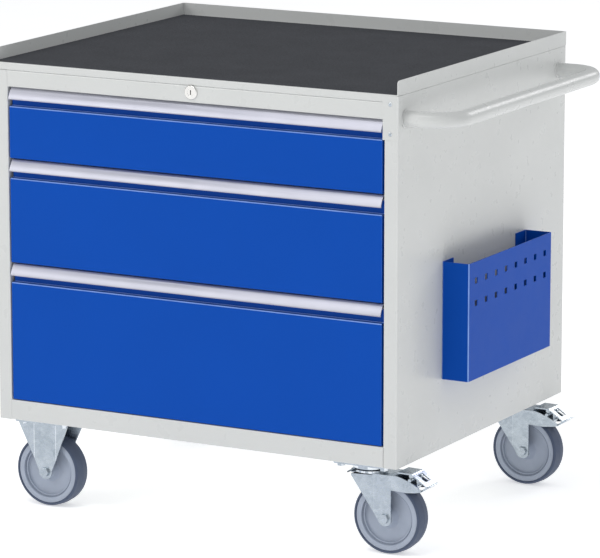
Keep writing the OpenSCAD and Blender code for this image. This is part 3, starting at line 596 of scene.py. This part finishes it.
def make_weld(centre, radius, where):
    """A painted weld bead round the tube's foot, with the small ripples of its passes."""
    shape = bmesh.new()
    bead = 2.2 * MM
    section = [(radius - 0.3 * MM, 0.0), (radius + bead, 0.0)]
    section += [(radius + bead * 0.55, bead * 0.42), (radius - 0.3 * MM, bead)]
    verts = [shape.verts.new((centre.x + along, centre.y + r, centre.z)) for r, along in section]
    edges = [shape.edges.new((verts[k], verts[(k + 1) % 4])) for k in range(4)]
    spin(shape, verts + edges, centre, (1, 0, 0), math.tau, 72)
    bmesh.ops.remove_doubles(shape, verts=shape.verts, dist=1e-6)
    passes, ripple = 18, 0.35 * MM
    for vert in shape.verts:
        away = Vector((0, vert.co.y - centre.y, vert.co.z - centre.z))
        turn = math.atan2(away.z, away.y)
        if away.length > radius:
            vert.co += away.normalized() * ripple * math.sin(passes * turn)
    bmesh.ops.recalc_face_normals(shape, faces=shape.faces)
    for face in shape.faces:
        face.smooth = True
    piece = placed(shape, "handle_weld_" + where, FINISHES["grey_paint"].material)
    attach(piece, BODY_OF["handle_tube"])


# ---- the cabinet ----

for node in ("side_left", "side_right", "worktop_tray", "top_rail", "base_pan", "back_panel"):
    rolled_edge_piece(node, 0.5 * MM)
rolled_edge_piece("corner_bracket", 0.3 * MM)
rolled_edge_piece("side_pocket", 0.45 * MM)
make_mat()
make_handle()

# ---- the drawers ----

for drawer in DRAWERS:
    rolled_edge_piece(drawer + "_drawer_front", 0.45 * MM)
    make_grip(drawer)
    for part in ("tray", "walls"):
        rolled_edge_piece(drawer + "_drawer_" + part, 0.35 * MM)

for node in ("lock_housing", "lock_plug"):
    rolled_edge_piece(node, 0.2 * MM)
for node in ("bracket_rivets", "pocket_rivets", "back_screws", "castor_bolts"):
    rolled_edge_piece(node, 0.3 * MM)

# ---- the castors ----

axle_piece("fixed_axles", ["fixed_front", "fixed_rear"])

for end in ENDS:
    for kind in ("fixed_", "swivel_"):
        make_rim(kind + end)
        make_tyre(kind + end)
    castor_leg_piece("fixed_" + end, "bracket", FIXED_WING, True)
    castor_leg_piece("swivel_" + end, "fork", SWIVEL_WING, False)
    axle_piece("swivel_" + end + "_axle", ["swivel_" + end])
    for part in ("head", "pedal"):
        rolled_edge_piece("swivel_" + end + "_" + part, 0.5 * MM)

for node, piece in frame["nodes"].items():
    if not piece.hide_render:
        piece.data.materials.clear()
        piece.data.materials.append(FINISHES[SLOT_OF[node]].material)


# ---- studio ----


def soft_light(name, place, target, size, power, colour):
    lamp = bpy.data.lights.new(name, "AREA")
    lamp.shape = "RECTANGLE"
    lamp.size, lamp.size_y = size
    lamp.energy = power
    lamp.color = colour
    light = bpy.data.objects.new(name, lamp)
    light.location = place
    light.rotation_euler = (Vector(target) - Vector(place)).to_track_quat("-Z", "Y").to_euler()
    bpy.context.scene.collection.objects.link(light)


def make_studio():
    floor_mesh = bpy.data.meshes.new("studio_floor")
    shape = bmesh.new()
    bmesh.ops.create_grid(shape, x_segments=1, y_segments=1, size=30)
    shape.to_mesh(floor_mesh)
    shape.free()
    floor = bpy.data.objects.new("studio_floor", floor_mesh)
    bpy.context.scene.collection.objects.link(floor)
    paper = Finish("pale_paper", Roughness=0.9, Specular_IOR_Level=0.1, Emission_Strength=0.47)
    paper.give("Emission Color", (1, 1, 1, 1))
    grain = paper.between(paper.noise(3.0), 0, 1)
    paper.give("Base Color", paper.blend(grain, (0.93, 0.93, 0.93, 1), (0.95, 0.95, 0.95, 1)))
    floor_mesh.materials.append(paper.material)

    world = bpy.data.worlds.new("studio")
    world.use_nodes = True
    sky = world.node_tree.nodes["Background"].inputs
    sky["Color"].default_value = (0.96, 0.98, 1.0, 1)
    sky["Strength"].default_value = 0.5
    bpy.context.scene.world = world
    soft_light("key", (-3.2, -4.6, 3.2), (0, 0, 0.45), (2.2, 2.2), 68, (1.0, 0.99, 0.97))
    soft_light("side fill", (4.4, -1.7, 2.0), (0.4, -0.3, 0.6), (2, 2), 9, (1.0, 1.0, 1.0))
    soft_light("back", (2.2, 5.2, 3.2), (0.4, 0, 0.7), (2.4, 2.0), 70, (1.0, 1.0, 1.0))
    soft_light("strip", (-0.4, -2.6, 4.6), (0, -0.3, 0.4), (3.2, 0.35), 45, (1.0, 1.0, 1.0))


def make_camera():
    data = bpy.data.cameras.new("studio_camera")
    data.sensor_width = 36.0
    data.lens = 250.27
    data.clip_end = 100.0
    camera = bpy.data.objects.new("studio_camera", data)
    bpy.context.scene.collection.objects.link(camera)
    right, above = math.radians(28.54), math.radians(11.6)
    level = math.cos(above)
    back = Vector((math.sin(right) * level, -math.cos(right) * level, math.sin(above)))
    camera.location = (3.3713, -6.228, 1.8381)
    camera.rotation_euler = (-back).to_track_quat("-Z", "Y").to_euler()
    bpy.context.scene.camera = camera


make_studio()
make_camera()
bpy.context.scene.view_settings.view_transform = "Standard"

bpy.context.view_layer.update()
